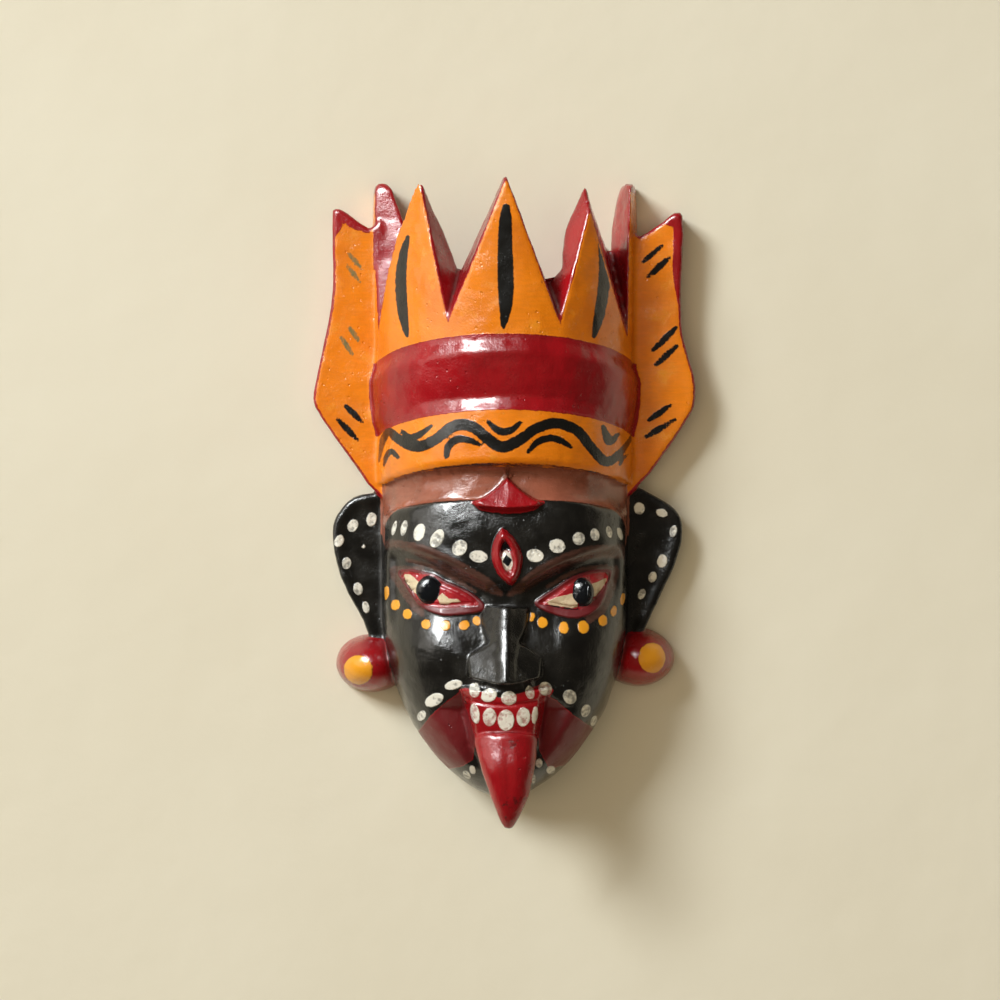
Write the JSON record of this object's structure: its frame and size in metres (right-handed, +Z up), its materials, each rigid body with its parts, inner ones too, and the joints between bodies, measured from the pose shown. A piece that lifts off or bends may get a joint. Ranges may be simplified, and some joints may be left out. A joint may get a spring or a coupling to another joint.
{
  "type": "wooden deity mask",
  "caption": "Carved and painted wooden deity mask with a third eye, red tongue, banded crown of upright spikes, side wings, flat ears and round ear studs, lying on its back.",
  "frame": {"origin": "centre of the outline at the level of the flat back it lies on", "axes": "X to the viewer's right across the face, Y from the tongue towards the crown, Z up out of the face"},
  "size_m": [0.1206, 0.2008, 0.0564],
  "materials": {
    "painted_wood": "glossy enamel paint over carved wood, bare wood in the hollow back"
  },
  "bodies": {
    "root": {"mask": "painted_wood"}
  },
  "joints": []
}
